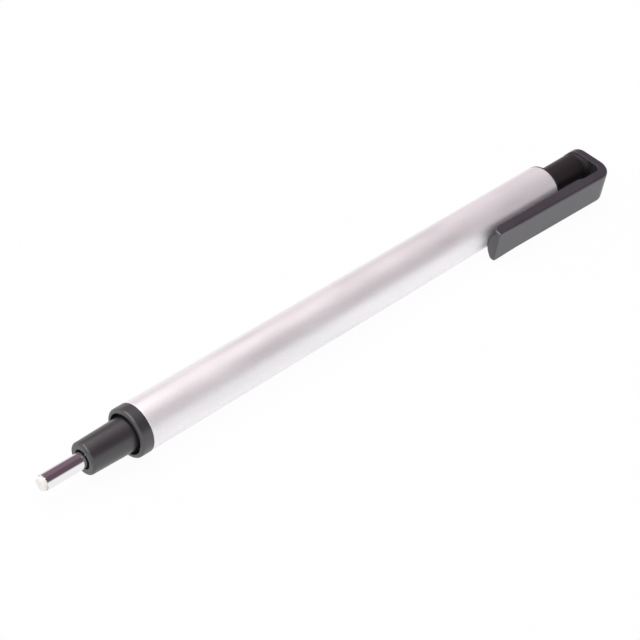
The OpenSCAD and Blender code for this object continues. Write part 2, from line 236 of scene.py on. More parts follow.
def wind_round(tree, given, shape, x, radius, turns):
    """The shape with its points moved onto turns round the pen's axis."""
    angle = add_math(tree, "MULTIPLY", turns, 2 * math.pi)
    place = tree.nodes.new("ShaderNodeCombineXYZ")
    tree.links.new(x, place.inputs["X"])
    for ratio, axis, title in (("COSINE", "Axis Y", "Y"), ("SINE", "Axis Z", "Z")):
        offset = add_math(tree, "MULTIPLY", radius, add_math(tree, ratio, angle))
        tree.links.new(add_math(tree, "ADD", offset, given[axis]), place.inputs[title])
    move = tree.nodes.new("GeometryNodeSetPosition")
    tree.links.new(shape, move.inputs["Geometry"])
    tree.links.new(place.outputs[0], move.inputs["Position"])
    return move.outputs[0]


# %% Build the lathe
MERGE_M = 1e-6  # points closer together than this, in metres, become one


def make_lathe():
    """Tree that turns a section, drawn as points (x, radius), round the pen's axis."""
    tree, given = start_tree("pen_lathe", ("Geometry", "Segments", "Axis Y", "Axis Z", "Material"))
    nodes, link, maths = tree.nodes, tree.links.new, partial(add_math, tree)

    size = nodes.new("GeometryNodeAttributeDomainSize")
    link(given["Geometry"], size.inputs[0])
    columns = maths("ADD", given["Segments"], 1)
    grid = nodes.new("GeometryNodeMeshGrid")
    link(size.outputs["Point Count"], grid.inputs["Vertices X"])
    link(columns, grid.inputs["Vertices Y"])

    index = nodes.new("GeometryNodeInputIndex").outputs[0]
    row = maths("FLOOR", maths("DIVIDE", maths("ADD", index, 0.5), columns))
    column = maths("SUBTRACT", index, maths("MULTIPLY", row, columns))
    share = maths("DIVIDE", column, given["Segments"])

    drawn = nodes.new("GeometryNodeSampleIndex")
    drawn.data_type = "FLOAT_VECTOR"
    link(given["Geometry"], drawn.inputs["Geometry"])
    link(nodes.new("GeometryNodeInputPosition").outputs[0], drawn.inputs["Value"])
    link(row, drawn.inputs["Index"])
    parts = nodes.new("ShaderNodeSeparateXYZ")
    link(drawn.outputs["Value"], parts.inputs[0])

    x, radius = parts.outputs["X"], parts.outputs["Y"]
    close = nodes.new("GeometryNodeMergeByDistance")
    close.inputs["Distance"].default_value = MERGE_M
    link(wind_round(tree, given, grid.outputs["Mesh"], x, radius, share), close.inputs["Geometry"])
    end_tree(tree, close.outputs[0], given["Material"])
    return tree


lathe = make_lathe()
print("nodes of the lathe:", len(lathe.nodes))


# %% [markdown]
# ## Finish of a mesh
# Each new mesh gets the same last steps. Faces are turned outwards, edges sharper than a set
# angle stay crisp, and the normals are weighted by face area, so that a broad face stays
# flat beside the narrow arcs of its edges. A sound mesh then prints no open edges, and a
# volume that fits its piece.


# %% Finish a piece
WELD_M, SLIVER_M = 1e-7, 1e-8  # metres: points that are one, and edges with no length
SHARP = math.radians(38)


def add_object(name, data):
    """A new object of the scene that shows the given mesh, camera or lamp."""
    obj = bpy.data.objects.new(name, data)
    bpy.context.scene.collection.objects.link(obj)
    return obj


def frozen(obj):
    """The object with its modifiers made real, as one plain mesh."""
    depsgraph = bpy.context.evaluated_depsgraph_get()
    mesh = bpy.data.meshes.new_from_object(obj.evaluated_get(depsgraph))
    obj.modifiers.clear()
    obj.data = mesh
    return obj


def finish_mesh(obj):
    """Faces outwards, crisp edges kept, and normals weighted by face area."""
    work = bmesh.new()
    work.from_mesh(obj.data)
    bmesh.ops.remove_doubles(work, verts=work.verts, dist=WELD_M)
    bmesh.ops.dissolve_degenerate(work, edges=work.edges, dist=SLIVER_M)
    for parts, context in ((work.edges, "EDGES"), (work.verts, "VERTS")):
        loose = [part for part in parts if not part.link_faces]
        bmesh.ops.delete(work, geom=loose, context=context)
    bmesh.ops.recalc_face_normals(work, faces=work.faces)
    open_edges = sum(1 for edge in work.edges if len(edge.link_faces) != 2)
    volume = work.calc_volume(signed=True)
    if volume < 0:
        bmesh.ops.reverse_faces(work, faces=work.faces)
    work.to_mesh(obj.data)
    work.free()
    obj.data.shade_smooth()
    obj.data.set_sharp_from_angle(angle=SHARP)
    obj.modifiers.new("even_normals", "WEIGHTED_NORMAL").keep_sharp = True
    frozen(obj)
    obj.data.name = obj.name
    print(obj.name, "faces:", len(obj.data.polygons), "open edges:", open_edges,
          "mm3:", round(abs(volume) / MM ** 3, 2))
    return obj


# %% Shape a piece with nodes
def shaped(name, mesh, tree, **values):
    """A finished piece that a tree shapes, from a drawn mesh or an empty one."""
    obj = add_object(name, mesh)
    shaping = obj.modifiers.new(tree.name, "NODES")
    shaping.node_group = tree
    values.update(Axis_Y=axis_point.y, Axis_Z=axis_point.z)
    for title, value in values.items():
        inputs = (s for s in tree.interface.items_tree if s.in_out == "INPUT")
        identifier = next(s.identifier for s in inputs if s.name == title.replace("_", " "))
        shaping[identifier] = value
    return finish_mesh(frozen(obj))


def turned(name, section, material, segments, longest=4.0):
    """A turned piece from a closed section of (x, radius, corner radius) in millimetres."""
    outline = spaced(rounded(section), longest)
    mesh = bpy.data.meshes.new(name)
    drawn = [(barrel_start + x * MM, r * MM, 0) for x, r in outline]
    mesh.from_pydata(drawn, [(i, i + 1) for i in range(len(drawn) - 1)], [])
    return shaped(name, mesh, lathe, Segments=segments, Material=material)


# %% [markdown]
# ## Shared effects
# A few small things make a surface look real, and several materials of the pen share them.
# Each effect is a shader group that is built once. The grain group gives the fine, nearly
# even grain of satin metal. The skin group gives the slight orange peel and tone of moulded
# plastic. The handling group gives the faint smears that fingers leave, and specks of dust.


# %% Helpers for shader trees
def shader_group(name, numbers, results):
    """An empty shader group with named sockets: (tree, its inputs, its outputs)."""
    tree = bpy.data.node_groups.new(name, "ShaderNodeTree")
    for title, value in numbers.items():
        number = tree.interface.new_socket(title, in_out="INPUT", socket_type="NodeSocketFloat")
        number.default_value = value
    for title in results:
        tree.interface.new_socket(title, in_out="OUTPUT", socket_type="NodeSocketFloat")
    return tree, tree.nodes.new("NodeGroupInput").outputs, tree.nodes.new("NodeGroupOutput").inputs


def stretched(tree, along=1.0):
    """Object coordinates, with a factor along the pen; less than 1 draws a texture out."""
    where = tree.nodes.new("ShaderNodeTexCoord")
    mapping = tree.nodes.new("ShaderNodeMapping")
    mapping.inputs["Scale"].default_value = (along, 1.0, 1.0)
    tree.links.new(where.outputs["Object"], mapping.inputs["Vector"])
    return mapping.outputs["Vector"]


def add_noise(tree, vector, scale, detail=2.0, roughness=0.5):
    """One noise texture on the given coordinates; scale is a number or a socket."""
    noise = tree.nodes.new("ShaderNodeTexNoise")
    tree.links.new(vector, noise.inputs["Vector"])
    feed(tree, scale, noise.inputs["Scale"])
    noise.inputs["Detail"].default_value = detail
    noise.inputs["Roughness"].default_value = roughness
    return noise.outputs["Fac"]


def add_range(tree, value, from_low, from_high, to_low=0.0, to_high=1.0):
    """Maps a value from one range to another, clamped."""
    node = tree.nodes.new("ShaderNodeMapRange")
    feed(tree, value, node.inputs["Value"])
    limits = {"From Min": from_low, "From Max": from_high, "To Min": to_low, "To Max": to_high}
    for title, limit in limits.items():
        feed(tree, limit, node.inputs[title])
    return node.outputs["Result"]


def mix_masks(tree, first, second, share):
    """Two masks added, with the first one's share of the whole."""
    rest = add_math(tree, "MULTIPLY", second, 1 - share)
    return add_math(tree, "ADD", add_math(tree, "MULTIPLY", first, share), rest)


# %% Metal grain
SHEEN_SIZE = 260.0


def make_grain():
    """Fine grain, hardly longer along the pen than across it, and the sheen of anodising."""
    tree, given, result = shader_group("metal_grain", {"Size": 9000.0}, ["Grain", "Sheen"])
    coarse = add_noise(tree, stretched(tree, 0.8), given["Size"], detail=3.0, roughness=0.6)
    fine = add_noise(tree, stretched(tree, 0.7), given["Size"], detail=1.0, roughness=0.4)
    tree.links.new(mix_masks(tree, coarse, fine, 0.65), result["Grain"])
    tree.links.new(add_noise(tree, stretched(tree, 0.25), SHEEN_SIZE), result["Sheen"])
    return tree


metal_grain = make_grain()


# %% Moulded skin
TOOTH_SIZE, TONE_SIZE = 14000.0, 180.0


def make_skin():
    """Slight orange peel, fine tooth and tone of moulded plastic."""
    tree, given, result = shader_group("moulded_skin", {"Peel size": 900.0}, ["Skin", "Tone"])
    plain = stretched(tree)
    peel = add_noise(tree, plain, given["Peel size"], detail=1.0, roughness=0.4)
    tooth = add_noise(tree, plain, TOOTH_SIZE, detail=2.0, roughness=0.6)
    tree.links.new(mix_masks(tree, peel, tooth, 0.7), result["Skin"])
    tone = add_noise(tree, stretched(tree, 0.5), TONE_SIZE, detail=3.0)
    tree.links.new(tone, result["Tone"])
    return tree


moulded_skin = make_skin()


# %% Handling marks
CLOUD_SIZE, SPECK_SIZE = 130.0, 5200.0


def make_handling():
    """Smears left by fingers, as a soft broken mask, and small specks of dust."""
    tree, given, result = shader_group("handling", {"Amount": 1.0}, ["Smears", "Dust"])
    cloud = add_noise(tree, stretched(tree, 0.45), CLOUD_SIZE, detail=4.0, roughness=0.6)
    specks = add_noise(tree, stretched(tree), SPECK_SIZE, detail=1.0)
    for mask, low, high, title in ((cloud, 0.48, 0.72, "Smears"), (specks, 0.78, 0.84, "Dust")):
        tree.links.new(add_range(tree, mask, low, high, 0.0, given["Amount"]), result[title])
    return tree


handling = make_handling()
print("shared effects:", [group.name for group in (metal_grain, moulded_skin, handling)])


# %% [markdown]
# ## Materials
# Every material of the pen is a Principled shader with its constant numbers on its own
# sockets. The shared groups then vary colour, roughness and fine relief over the surface.
# Each row gives a light and a dark tone, the roughness, and the relief's depth in mm.


# %% Helpers for materials
TONE_RANGE, GRAIN_RANGE = (0.3, 0.7), (0.35, 0.65)  # where most values of a noise lie


def start_material(name, **sockets):
    """A new material, its tree and its Principled shader, with constants set."""
    material = bpy.data.materials.new(name)
    material.use_nodes = True
    tree = material.node_tree
    shader = tree.nodes["Principled BSDF"]
    for title, value in sockets.items():
        shader.inputs[title.replace("_", " ")].default_value = value
    return material, tree, shader


def add_group(tree, group, **values):
    """Places a shared effect and sets its inputs."""
    node = tree.nodes.new("ShaderNodeGroup")
    node.node_tree = group
    for title, value in values.items():
        node.inputs[title.replace("_", " ")].default_value = value
    return node.outputs


def mix_colours(tree, share, first, second):
    """Colour between first and second by a mask; each is a colour or a socket."""
    mix = tree.nodes.new("ShaderNodeMix")
    mix.data_type = "RGBA"
    tree.links.new(share, mix.inputs["Factor"])
    for value, target in zip((first, second), mix.inputs[6:8]):  # its two colours
        feed(tree, (*value, 1.0) if isinstance(value, tuple) else value, target)
    return mix.outputs[2]


def add_relief(tree, shader, height, depth_mm, strength=0.4):
    """Fine relief from a height mask; depth is the height of the mask's full range."""
    bump = tree.nodes.new("ShaderNodeBump")
    bump.inputs["Strength"].default_value = strength
    bump.inputs["Distance"].default_value = depth_mm * MM
    tree.links.new(height, bump.inputs["Height"])
    tree.links.new(bump.outputs["Normal"], shader.inputs["Normal"])


def vary_roughness(tree, shader, tone, touched, rough, spread, smeared):
    """Roughness that follows a tone by a small spread, and is higher where fingers smeared."""
    base = add_range(tree, tone, *TONE_RANGE, rough * (1 - spread), rough * (1 + spread))
    total = add_math(tree, "ADD", base, add_math(tree, "MULTIPLY", touched["Smears"], smeared))
    tree.links.new(total, shader.inputs["Roughness"])


def metal(name, light, dark, rough, relief_mm, grain_size=9000.0, marks=0.6, **sockets):
    """A metal with fine grain, mottled sheen and faint handling marks."""
    material, tree, shader = start_material(name, **{"Metallic": 1.0, **sockets})
    grain = add_group(tree, metal_grain, Size=grain_size)
    touched = add_group(tree, handling, Amount=marks)
    colour = mix_colours(tree, add_range(tree, grain["Grain"], *GRAIN_RANGE), dark, light)
    tree.links.new(colour, shader.inputs["Base Color"])
    vary_roughness(tree, shader, grain["Sheen"], touched, rough, spread=0.1, smeared=0.06)
    add_relief(tree, shader, grain["Grain"], relief_mm)
    return material


def plastic(name, light, dark, rough, relief_mm, peel_size=900.0, dust=(0.35, 0.34, 0.33), **sockets):
    """A moulded plastic with a slight peel, an uneven tone and faint handling marks."""
    material, tree, shader = start_material(name, **sockets)
    skin = add_group(tree, moulded_skin, Peel_size=peel_size)
    touched = add_group(tree, handling, Amount=0.5)
    tone = mix_colours(tree, add_range(tree, skin["Tone"], *TONE_RANGE), dark, light)
    dusty = add_math(tree, "MULTIPLY", touched["Dust"], 0.25)
    tree.links.new(mix_colours(tree, dusty, tone, dust), shader.inputs["Base Color"])
    vary_roughness(tree, shader, skin["Tone"], touched, rough, spread=0.08, smeared=0.08)
    add_relief(tree, shader, skin["Skin"], relief_mm)
    return material


# %% Metals of the pen
satin_aluminium = metal(
    "satin_aluminium", (0.985, 0.975, 0.995), (0.93, 0.915, 0.935), 0.52, 0.008,
    grain_size=3600.0, Metallic=0.75)
polished_tube = metal(
    "polished_tube", (0.88, 0.87, 0.88), (0.84, 0.83, 0.85), 0.055, 0.0006,
    grain_size=14000.0, marks=0.15)
turned_brass = metal("turned_brass", (0.80, 0.62, 0.30), (0.66, 0.48, 0.20), 0.24, 0.003)
spring_steel = metal("spring_steel", (0.66, 0.67, 0.69), (0.55, 0.56, 0.58), 0.22, 0.001)
print("metals:", len(bpy.data.materials))

# %% Plastics, rubber and eraser
GLOSSY, DULL = {"Specular_IOR_Level": 1.0}, {"Specular_IOR_Level": 0.35}
cap_plastic = plastic(
    "black_cap_plastic", (0.044, 0.040, 0.049), (0.036, 0.032, 0.040), 0.36, 0.006, **GLOSSY)
# Darker than the cap's plastic of the same moulding: painted shade of the hollow round the neck.
neck_painted_shade_plastic = plastic(
    "black_neck_painted_shade_plastic", (0.019, 0.015, 0.017), (0.012, 0.010, 0.011), 0.40, 0.003)
# Darker than the cap's plastic too: painted shade of the corner between neck and end wall; its duller
# skin is real.
corner_painted_shade_plastic = plastic(
    "black_corner_painted_shade_plastic", (0.021, 0.017, 0.019), (0.014, 0.012, 0.013), 0.52, 0.003, **DULL)
collar_plastic = plastic(
    "black_collar_plastic", (0.036, 0.033, 0.039), (0.028, 0.026, 0.031), 0.36, 0.006, **GLOSSY)
nose_plastic = plastic(
    "black_nose_plastic", (0.029, 0.027, 0.031), (0.021, 0.019, 0.023), 0.36, 0.008, **GLOSSY)
inner_plastic = plastic(
    "black_inner_plastic", (0.030, 0.030, 0.031), (0.022, 0.022, 0.023), 0.45, 0.008)
sleeve_plastic = plastic("sleeve_plastic", (0.64, 0.64, 0.61), (0.58, 0.58, 0.56), 0.45, 0.006)
white_plastic = plastic("white_plastic", (0.86, 0.86, 0.84), (0.80, 0.80, 0.78), 0.30, 0.005)
magazine_plastic = plastic(
    "magazine_plastic", (0.80, 0.82, 0.83), (0.75, 0.77, 0.79), 0.28, 0.004)
retainer_rubber = plastic(
    "retainer_rubber", (0.085, 0.085, 0.088), (0.06, 0.06, 0.064), 0.70, 0.02)
eraser_compound = plastic(
    "eraser_compound", (0.90, 0.885, 0.85), (0.86, 0.84, 0.80), 0.62, 0.0012,
    peel_size=1500.0, dust=(0.74, 0.72, 0.69))
print("materials:", len(bpy.data.materials))

# %% [markdown]
# ## Barrel
# The barrel is a thin aluminium tube, drawn, cut to length and satin anodised. Its two ends
# are lightly broken so that they don't scratch. It is turned from a long, narrow section.

# %% Barrel
BARREL_R, BORE_R = 4.15, 3.65
barrel_end = station(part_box("barrel")[1].x)
barrel = turned(
    "satin_barrel",
    [(0, BORE_R, 0.04), (0, BARREL_R, 0.10), (barrel_end, BARREL_R, 0.10), (barrel_end, BORE_R, 0.04)],
    satin_aluminium, segments=160,
)

# %% [markdown]
# ## Front collar
# A moulded collar closes the front of the barrel. Its ring stands a hair proud of the
# barrel and turns over a rounded outer edge. In front it is hollow: a ring-shaped recess
# lies about the nose, and shows as a dark gap. Behind, its spigot goes into the barrel, and
# the small round where ring and barrel meet leaves the fine dark line seen there.

# %% Front collar
COLLAR_R, COLLAR_BORE_R, SPIGOT_R, SPIGOT_LEN = 4.20, 2.92, 3.64, 4.0
RECESS_R, RECESS_DEEP, LIP_BACK = 3.48, 1.7, 0.62
collar_front = station(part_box("front_collar")[0].x)
lip = collar_front + LIP_BACK
recess_floor = lip + RECESS_DEEP
collar = turned(
    "collar",
    [
        (recess_floor, COLLAR_BORE_R, 0), (recess_floor, RECESS_R, 0.1), (lip, RECESS_R, 0.12),
        (lip + 0.1, COLLAR_R, 0.42), (0, COLLAR_R, 0.08), (0, SPIGOT_R, 0),
        (SPIGOT_LEN, SPIGOT_R, 0.15), (SPIGOT_LEN, COLLAR_BORE_R, 0.1),
    ],
    collar_plastic, segments=128,
)

# %% [markdown]
# ## Nose
# The nose screws into the collar. It tapers slightly, has a small round at its front edge
# and a hole a little wider than the metal tube that comes out of it.

# %% Nose
NOSE_R, NOSE_TIP_R, MOUTH_R, MOUTH_LEN = 2.90, 2.725, 1.66, 0.8
FRONT_BORE_R, BACK_BORE_R, FRONT_BORE_LEN = 2.20, 2.30, 5.1
nose_tip = station(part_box("nose_cone")[0].x)
mouth_end, bore_step = nose_tip + MOUTH_LEN, nose_tip + FRONT_BORE_LEN
nose = turned(
    "nose",
    [
        (nose_tip, MOUTH_R, 0.06), (nose_tip, NOSE_TIP_R, 0.35), (collar_front, NOSE_R, 0),
        (SPIGOT_LEN, NOSE_R, 0.1), (SPIGOT_LEN, BACK_BORE_R, 0), (bore_step, BACK_BORE_R, 0),
        (bore_step, FRONT_BORE_R, 0), (mouth_end, FRONT_BORE_R, 0), (mouth_end, MOUTH_R, 0.06),
    ],
    nose_plastic, segments=112, longest=1.5,
)

# %% [markdown]
# ## Guide tube
# The stick leaves the pen through a thin, bright steel tube. The tube is drawn, so its wall
# is even, and its mouth is rounded inside and out so that it doesn't cut the stick. Inside
# the nose it is a little wider, and a flange at its back end holds it in place.

# %% Guide tube
TUBE_R = mounts["guide_tube"]["dims"]["r_mm"]
TUBE_BORE_R, SEAT_R, SEAT_BACK, FLANGE_R, FLANGE_LEN = 1.20, 1.53, 0.7, 1.70, 0.3
tube_tip, tube_back = (station(corner.x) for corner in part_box("guide_tube"))
seat_front, flange_front = nose_tip + SEAT_BACK, tube_back - FLANGE_LEN
tube = turned(
    "guide_tube_polished",
    [
        (tube_tip, TUBE_BORE_R, 0.02), (tube_tip, TUBE_R, 0.03), (seat_front, TUBE_R, 0),
        (seat_front, SEAT_R, 0.05), (flange_front, SEAT_R, 0), (flange_front, FLANGE_R, 0.03),
        (tube_back, FLANGE_R, 0.03), (tube_back, TUBE_BORE_R, 0.03),
    ],
    polished_tube, segments=96, longest=2.0,
)

# %% [markdown]
# ## Eraser stick
# The stick is extruded and cut to length. Use rounds the end that touches the paper. The
# soft compound is never quite even, and its material gives the skin that fine unevenness.

# %% Eraser stick
STICK_R, WORN_R = 1.15, 0.28
stick_tip, stick_end = (station(corner.x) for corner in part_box("eraser_stick"))
stick = turned(
    "eraser_stick_soft",
    [(stick_tip, 0, 0), (stick_tip, STICK_R, WORN_R), (stick_end, STICK_R, 0.06), (stick_end, 0, 0)],
    eraser_compound, segments=72, longest=1.5,
)

# %% [markdown]
# ## Return spring
# The spring pushes the cap back. It is a coil of steel wire with a closed turn at each end.
# A path that follows a formula is a task for Geometry Nodes: points on a line are moved onto
# the helix, and a small circle is swept along it.


# %% Build the coil
WIRE_SIDES, COIL_STEPS = 12, 320


def make_coil():
    """Tree of a compression spring with one closed turn at each end."""
    tree, given = start_tree("spring_coil", (
        "Length", "Turns", "Coil radius", "Wire radius", "Start X", "Axis Y", "Axis Z",
        "Steps", "Material"))
    nodes, link, maths = tree.nodes, tree.links.new, partial(add_math, tree)

    line = nodes.new("GeometryNodeCurvePrimitiveLine")
    dense = nodes.new("GeometryNodeResampleCurve")
    link(line.outputs[0], dense.inputs["Curve"])
    link(given["Steps"], dense.inputs["Count"])
    share = nodes.new("GeometryNodeSplineParameter").outputs["Factor"]
    turn = maths("MULTIPLY", share, given["Turns"])
    wire = maths("MULTIPLY", given["Wire radius"], 2)
    free_turns = maths("SUBTRACT", given["Turns"], 2)
    free_length = maths("SUBTRACT", given["Length"], maths("MULTIPLY", wire, 3))
    past_closed = maths("SUBTRACT", turn, 1)
    middle = maths("MINIMUM", maths("MAXIMUM", past_closed, 0), free_turns)
    closed = maths("SUBTRACT", turn, middle)
    rise = maths("DIVIDE", maths("MULTIPLY", middle, free_length), free_turns)
    wound = maths("ADD", rise, maths("MULTIPLY", closed, wire))
    x = maths("ADD", maths("ADD", wound, given["Wire radius"]), given["Start X"])
    helix = wind_round(tree, given, dense.outputs[0], x, given["Coil radius"], turn)

    ring = nodes.new("GeometryNodeCurvePrimitiveCircle")
    ring.inputs["Resolution"].default_value = WIRE_SIDES
    link(given["Wire radius"], ring.inputs["Radius"])
    sweep = nodes.new("GeometryNodeCurveToMesh")
    sweep.inputs["Fill Caps"].default_value = True
    link(helix, sweep.inputs["Curve"])
    link(ring.outputs[0], sweep.inputs["Profile Curve"])
    end_tree(tree, sweep.outputs[0], given["Material"])
    return tree


# %% Return spring
WIRE_R, COIL_R, TURNS = 0.175, 2.15, 8.0
spring_low, spring_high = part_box("return_spring")
spring_length = spring_high.x - spring_low.x
spring = shaped(
    "coil_spring", bpy.data.meshes.new("coil_spring"), make_coil(),
    Length=spring_length, Turns=TURNS, Coil_radius=COIL_R * MM, Wire_radius=WIRE_R * MM,
    Start_X=spring_low.x, Steps=COIL_STEPS, Material=spring_steel,
)

# %% [markdown]
# ## Push cap and clip
# The cap and its clip are one moulding. A flat strip starts in front at a foot with a
# rounded sole, whose side walls turn up to meet it. It runs back as a stiff channel between
# two side rails, thins to a springy root, turns a tight bend and becomes the end wall, whose
# far end is a half round about the neck.
# The strip is best thought of unrolled: a flat outline with a depth at every place, and a
# rule that bends it. So the outline is drawn first, then each of its stations becomes a
# closed loop round the strip. Its outer edges are rounded, and its inner edges are bevelled
# on the rails and nearly sharp on root and end wall. At last the loops are bent and joined.

# %% Sizes of the clip
CLIP_LEN, CLIP_REACH, CLIP_INSIDE, BEND_R, LEAN = 32.4, 7.1, 4.35, 3.4, math.radians(1.6)
WALL, WEB, RAIL_INSIDE, CORNER_R = 1.9, 1.0, 2.0, 0.7
ROOT_LEN, ROOT_HALF, FRONT_HALF = 3.6, 3.0, 3.1
SOLE_LEN, SOLE_R, SIDE_ROUND, FOOT_LEAST = 2.2, 3.4, 2.0, 0.45
cap_end = station(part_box("clip_cap")[1].x)
clip_front = cap_end - CLIP_LEN
bend_x, bend_out = cap_end - BEND_R, CLIP_REACH - BEND_R
bend_len = BEND_R * (math.pi / 2 + LEAN)
arm_len = bend_x - clip_front
channel_start = SOLE_LEN + WEB - arm_len
channel_end = -ROOT_LEN - (CLIP_REACH - CLIP_INSIDE - WALL)
print("clip from", round(clip_front, 2), "to", round(cap_end, 2), "arm", round(arm_len, 2))


# %% The rule that bends the strip
def bent(s, depth):
    """(x, outwards) of a place: s from the bend's start, depth under the outer face."""
    c, t = math.cos(LEAN), math.sin(LEAN)
    if s <= 0:
        return bend_x - t * (BEND_R - depth) + s * c, bend_out + c * (BEND_R - depth) + s * t
    if s <= bend_len:
        a = s / BEND_R
        ux, uo = -t * math.cos(a) + c * math.sin(a), c * math.cos(a) + t * math.sin(a)
        return bend_x + ux * (BEND_R - depth), bend_out + uo * (BEND_R - depth)
    return bend_x + BEND_R - depth, bend_out - (s - bend_len)


# %% Outline of the strip
def side_half(s):
    """Half width of the strip at s: a slight taper along the arm."""
    return ROOT_HALF + (FRONT_HALF - ROOT_HALF) * min(1, max(0, -s / arm_len))


def quarter(steps):
    """Angles of a quarter turn in equal steps, with both ends."""
    return [math.radians(90) * k / steps for k in range(steps + 1)]


def clip_stations():
    """Places along the strip, close together where its depth or its direction changes."""
    foot = [-arm_len + ahead for ahead in (0.85, 1.0, 1.2, 1.45, 1.75, 2.0)]
    heel = [-arm_len + ahead for ahead in (SOLE_LEN, 2.35, 2.6, 2.85)]
    step = [channel_start + beside for beside in (-0.12, 0, 0.12)]
    open_len = channel_end - channel_start - 1.2
    channel = [channel_start + 0.6 + open_len * k / 22 for k in range(23)]
    ramp = [channel_end + beside for beside in (-0.12, 0, 0.1, 0.3, 0.55)]
    root = [-ROOT_LEN + beside for beside in (-0.1, 0, 0.1)]
    root += [-ROOT_LEN * (1 - k / 5) for k in range(1, 5)]
    bend = [bend_len * k / 18 for k in range(19)]
    wall = [bend_len + bend_out * k / 8 for k in range(1, 8)]
    return foot + heel + step + channel + ramp + root + bend + wall


def clip_outline():
    """Stations from front to end: (s, half width, normal along s, normal sideways)."""
    stations = []
    for a in quarter(8):
        s = -arm_len + CORNER_R * (1 - math.cos(a))
        half = side_half(s) - CORNER_R * (1 - math.sin(a))
        stations.append((s, half, -math.cos(a), math.sin(a)))
    stations += [(s, side_half(s), 0.0, 1.0) for s in clip_stations()]
    for a in quarter(24):
        s = bend_len + bend_out + ROOT_HALF * math.sin(a)
        stations.append((s, ROOT_HALF * math.cos(a), math.sin(a), math.cos(a)))
    return stations


outline = clip_outline()
print("stations of the clip:", len(outline))


# %% Depths of the strip
def blend(value, low, high):
    """0 below low, 1 above high, smooth between."""
    t = min(1, max(0, (value - low) / (high - low)))
    return t * t * (3 - 2 * t)


def heel_share(s):
    """0 under the foot, 1 behind its heel."""
    return min(1, max(0, (s + arm_len - SOLE_LEN) / WEB))


def sole_depth(s, side):
    """Depth of the foot's rounded sole at a place across the clip."""
    inside = min(abs(side), SOLE_R - 0.1)
    sole = SOLE_REACH + SOLE_R - math.sqrt(SOLE_R ** 2 - inside ** 2)
    return max(FOOT_LEAST, bent(s, 0)[1] - sole)


def edge_depth(s, side):
    """Depth of the rails: turned up in front, level along the arm, a ramp to the root."""
    if s > -ROOT_LEN:
        return WALL
    level = min(bent(s, 0)[1] - CLIP_INSIDE, WALL - ROOT_LEN - s)
    ahead = min(SIDE_ROUND, max(0.0, s + arm_len))
    turned_up = level - SIDE_ROUND + math.sqrt(SIDE_ROUND ** 2 - (SIDE_ROUND - ahead) ** 2)
    return min(level, max(sole_depth(s, side), turned_up))


def floor_depth(s, side):
    """Depth between the rails: the foot's sole and heel, then the channel's floor."""
    if channel_start <= s <= channel_end:
        return WEB
    if s < channel_start:
        return sole_depth(s, side) * (1 - heel_share(s)) + WEB * heel_share(s)
    return edge_depth(s, side)


print("depth of the rails at mid arm:", round(edge_depth(-arm_len / 2, FRONT_HALF), 2))


# %% Edges of the strip
OUTER_STEPS = 6
LONG_ROUND, FRONT_ROUND, FIRST_ROUND, ROUND_GROWS = 0.5, 0.4, 0.15, 7
HEEL_BEVEL, BEVEL_GROWS, ROOT_BEVEL, BEVEL_FADES = 0.12, 0.45, 0.05, 0.6


def edge_levels(station_line):
    """Depth and inset of each level down the edge of one station."""
    s, half, ns, nq = station_line
    long_round = FIRST_ROUND + (LONG_ROUND - FIRST_ROUND) * blend(s + arm_len, 0, ROUND_GROWS)
    outer = FRONT_ROUND * ns * ns + long_round * nq * nq
    levels = [(outer * (1 - math.cos(a)), outer * (1 - math.sin(a))) for a in quarter(OUTER_STEPS)]
    slender = blend(s, -ROOT_LEN - BEVEL_FADES, -ROOT_LEN)
    rail_bevel = HEEL_BEVEL + BEVEL_GROWS * (1 + s / arm_len) * heel_share(s)
    bevel = rail_bevel * (1 - slender) + ROOT_BEVEL * slender
    deep = edge_depth(s, half)
    top, soft = deep - bevel, 0.25 * bevel
    start = 0.2 * soft
    levels += [((outer + deep - bevel) / 2, 0.0)]
    levels += [(top - soft, 0.0), (top + start, start), (top + soft, soft)]
    levels += [(deep - soft, bevel - soft), (deep - start, bevel - start), (deep, bevel + soft)]
    return levels


# %% One loop round the strip
RAIL_COLUMN = 0.65
HALF_COLUMNS = [0.14, 0.28, 0.42, 0.57, RAIL_COLUMN, 0.8, 0.9, 1.0]
COLUMNS = [-column for column in reversed(HALF_COLUMNS)] + [0] + HALF_COLUMNS


def column_side(column, edge):
    """Sideways place of a column: rails outside the rail column, channel inside it."""
    inside = min(RAIL_INSIDE, 0.8 * edge)
    if abs(column) <= RAIL_COLUMN:
        return inside * column / RAIL_COLUMN
    share = (abs(column) - RAIL_COLUMN) / (1 - RAIL_COLUMN)
    return math.copysign(inside + (edge - inside) * share, column)


def inner_depth(s, side, column):
    """Depth of the strip's inner side at a column: the rails, and the floor between them."""
    return edge_depth(s, side) if abs(column) >= RAIL_COLUMN else floor_depth(s, side)


def strip_loop(station_line):
    """Closed loop of (s, side, depth) round the strip at one station."""
    s, half, ns, nq = station_line
    levels = edge_levels(station_line)

    def at(level, column):
        depth, inset = level
        return s - inset * ns, column_side(column, max(0.0, half - inset * nq)), depth

    loop = [at(levels[0], column) for column in COLUMNS]
    loop += [at(level, 1.0) for level in levels[1:]]
    for column in COLUMNS[-2:0:-1]:
        place, side, depth = at(levels[-1], column)
        loop.append((place, side, inner_depth(s, side, column)))
    loop += [at(level, -1.0) for level in reversed(levels[1:])]
    return loop


# %% Join the loops
def join_rings(work, rings):
    """Adds the quads between each ring of points and the next one."""
    for a, b in zip(rings, rings[1:]):
        for k in range(len(a)):
            work.faces.new((a[k], a[(k + 1) % len(a)], b[(k + 1) % len(a)], b[k]))


